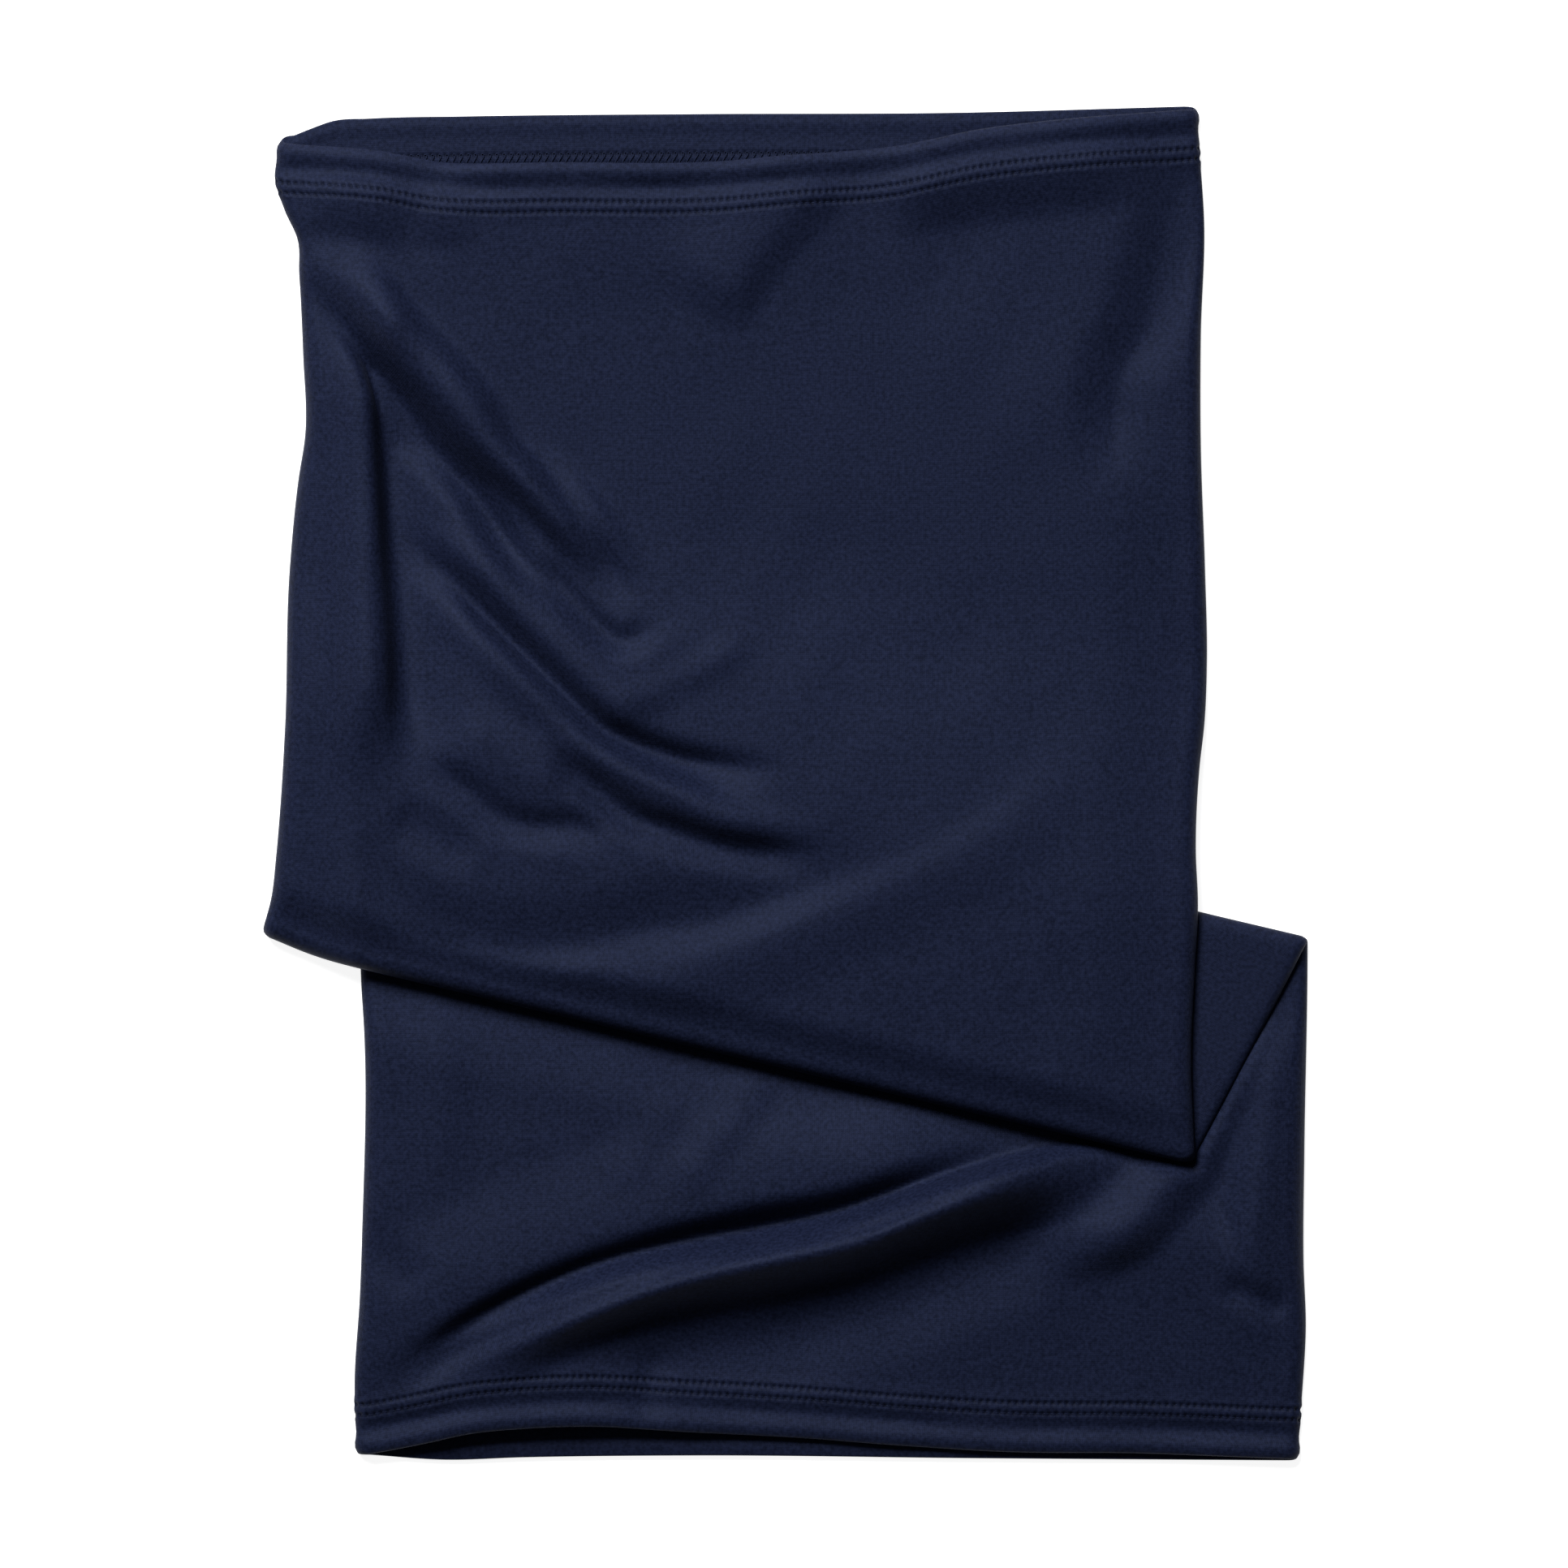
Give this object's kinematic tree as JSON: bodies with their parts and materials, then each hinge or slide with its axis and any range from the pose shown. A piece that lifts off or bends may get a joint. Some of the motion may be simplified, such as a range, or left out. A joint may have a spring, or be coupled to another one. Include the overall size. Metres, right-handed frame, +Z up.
{
  "type": "neck gaiter",
  "caption": "Folded tubular neck gaiter of stretch jersey: open at both ends, turned twin-needle hems, overlocked side seam, laid flat and pleated across in a Z.",
  "frame": {"origin": "centre of the folded gaiter's footprint, on the surface it lies on", "axes": "+X across the tube towards its right side fold, +Y along the tube towards the upper mouth, +Z up, away from the surface"},
  "size_m": [0.2774, 0.3586, 0.0111],
  "materials": {
    "jersey": "matt brushed stretch jersey, navy",
    "sewing_thread": "dull spun polyester thread, navy"
  },
  "bodies": {
    "root": {"tube_upper_run": "jersey", "tube_middle_run": "jersey", "tube_lower_run": "jersey", "upper_hem_turned_ply": "jersey", "upper_hem_needle_thread_1": "sewing_thread", "upper_hem_needle_thread_2": "sewing_thread", "upper_hem_looper_thread": "sewing_thread", "lower_hem_turned_ply": "jersey", "lower_hem_needle_thread_1": "sewing_thread", "lower_hem_needle_thread_2": "sewing_thread", "lower_hem_looper_thread": "sewing_thread", "side_seam_allowance": "jersey", "side_seam_overlock_thread": "sewing_thread"}
  },
  "joints": []
}
